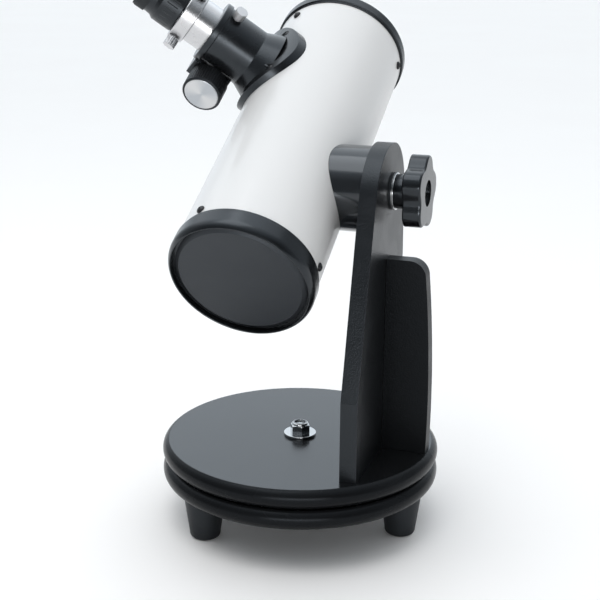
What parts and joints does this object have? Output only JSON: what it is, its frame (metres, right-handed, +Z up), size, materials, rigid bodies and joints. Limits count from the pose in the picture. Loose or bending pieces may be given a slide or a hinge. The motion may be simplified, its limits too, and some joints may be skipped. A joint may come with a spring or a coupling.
{
  "type": "tabletop reflector telescope",
  "caption": "Small tabletop reflecting telescope: white tube on a single-arm turntable base that swings round and tilts, with a rack-and-pinion eyepiece holder.",
  "frame": {"origin": "centre of the bounding box at the bottom of the feet, tube at 30 degrees and square to the arm", "axes": "+Z up, +Y where the tube points, +X along the altitude axis towards the star knob"},
  "size_m": [0.2469, 0.2798, 0.3983],
  "materials": {
    "feet": "fine texture",
    "board_laminate": "satin black laminate",
    "edge_trim": "satin",
    "black_screws": "black oxide",
    "plated_hardware": "bright plated",
    "bearing_plastic": "smooth",
    "arm_board": "fine textured black",
    "tube_paint": "gloss white",
    "ring_plastic": "satin",
    "cell_metal": "cast",
    "mirror_glass": "polished",
    "blackened_metal": "matt",
    "hub_casting": "gloss",
    "brass_insert": "turned",
    "focuser_casting": "satin",
    "knob_plastic": "satin",
    "focuser_steel": "turned",
    "grip_plastic": "ribbed",
    "spun_caps": "spun",
    "barrel_chrome": "polished",
    "eyepiece_shell": "satin",
    "eyecup_rubber": "matt",
    "lens_glass": "coated",
    "thumbscrew_steel": "knurled"
  },
  "bodies": {
    "ground_base": {"foot_1": "feet", "foot_2": "feet", "foot_3": "feet", "lower_board": "board_laminate", "lower_edge_trim": "edge_trim", "foot_screws": "black_screws", "glide_pads": "bearing_plastic", "azimuth_bolt": "plated_hardware", "azimuth_under_washer": "plated_hardware", "azimuth_washer": "plated_hardware", "azimuth_lock_nut": "plated_hardware"},
    "turntable": {"upper_board": "board_laminate", "upper_edge_trim": "edge_trim", "board_screws": "black_screws", "azimuth_bush": "bearing_plastic", "side_arm": "arm_board", "brace_board": "arm_board", "brace_screws": "black_screws", "altitude_bush": "bearing_plastic", "fibre_washer": "bearing_plastic", "arm_washer": "plated_hardware"},
    "optical_tube": {"tube_shell": "tube_paint", "rear_ring": "ring_plastic", "rear_cover_disc": "ring_plastic", "cell_screws": "black_screws", "rear_ring_screws": "black_screws", "mirror_cell": "cell_metal", "mirror_pads": "bearing_plastic", "mirror_clips": "cell_metal", "primary_mirror": "mirror_glass", "front_ring": "ring_plastic", "front_ring_screws": "black_screws", "secondary_spider": "blackened_metal", "collimation_screws": "black_screws", "secondary_holder": "blackened_metal", "secondary_mirror": "mirror_glass", "altitude_hub": "hub_casting", "hub_screws": "black_screws", "threaded_insert": "brass_insert", "focuser_body": "focuser_casting", "focuser_screws": "black_screws", "pinion_cover": "focuser_casting", "cover_screws": "black_screws"},
    "altitude_knob": {"star_knob": "knob_plastic", "knob_stud": "plated_hardware"},
    "drawtube": {"drawtube": "focuser_steel", "focus_rack": "focuser_steel"},
    "focus_pinion": {"pinion_shaft": "focuser_steel", "focus_knob_rear": "grip_plastic", "focus_cap_rear": "spun_caps", "focus_knob_front": "grip_plastic", "focus_cap_front": "spun_caps"},
    "eyepiece": {"eyepiece_barrel": "barrel_chrome", "eyepiece_body": "eyepiece_shell", "eyepiece_cup": "eyecup_rubber", "eye_lens": "lens_glass", "field_lens": "lens_glass"},
    "eyepiece_screw_1": {"eyepiece_thumbscrew_1": "thumbscrew_steel"},
    "eyepiece_screw_2": {"eyepiece_thumbscrew_2": "thumbscrew_steel"},
    "focus_lock": {"focus_lock_screw": "thumbscrew_steel"}
  },
  "joints": [
    {"name": "azimuth", "type": "hinge", "parent": "ground_base", "child": "turntable", "pos_m": [0.02096, -0.03582, 0], "axis": [0, 0, 1], "continuous": true},
    {"name": "altitude", "type": "hinge", "parent": "turntable", "child": "optical_tube", "pos_m": [0.02096, -0.02732, 0.2489], "axis": [1, 0, 0], "range_deg": [-35, 60]},
    {"name": "altitude_clamp", "type": "hinge", "parent": "optical_tube", "child": "altitude_knob", "pos_m": [0.02096, -0.02732, 0.2489], "axis": [1, 0, 0], "range_deg": [0, 180]},
    {"name": "focus_travel", "type": "slide", "parent": "optical_tube", "child": "drawtube", "axis": [-0.7431, -0.3346, 0.5795], "range_m": [-0.011, 0.016]},
    {"name": "focus_spin", "type": "hinge", "parent": "optical_tube", "child": "focus_pinion", "pos_m": [-0.06991, 0.03319, 0.3249], "axis": [0, 0.866, 0.5], "range_deg": [-185, 128]},
    {"name": "eyepiece_pull", "type": "slide", "parent": "drawtube", "child": "eyepiece", "axis": [-0.7431, -0.3346, 0.5795], "range_m": [0, 0.04]},
    {"name": "eyepiece_screw_1_turn", "type": "hinge", "parent": "drawtube", "child": "eyepiece_screw_1", "pos_m": [-0.08373, 0.01149, 0.36248], "axis": [0.6691, -0.3716, 0.6436], "range_deg": [0, 180]},
    {"name": "eyepiece_screw_2_turn", "type": "hinge", "parent": "drawtube", "child": "eyepiece_screw_2", "pos_m": [-0.08373, 0.01149, 0.36248], "axis": [-0.3346, -0.5642, -0.7548], "range_deg": [0, 180]},
    {"name": "focus_lock_turn", "type": "hinge", "parent": "optical_tube", "child": "focus_lock", "pos_m": [-0.06143, 0.02153, 0.34509], "axis": [0.6691, -0.3716, 0.6436], "range_deg": [0, 180]}
  ],
  "couplings": [
    {"joint": "focus_spin", "follows": "focus_travel", "rad_per_m": -200}
  ]
}
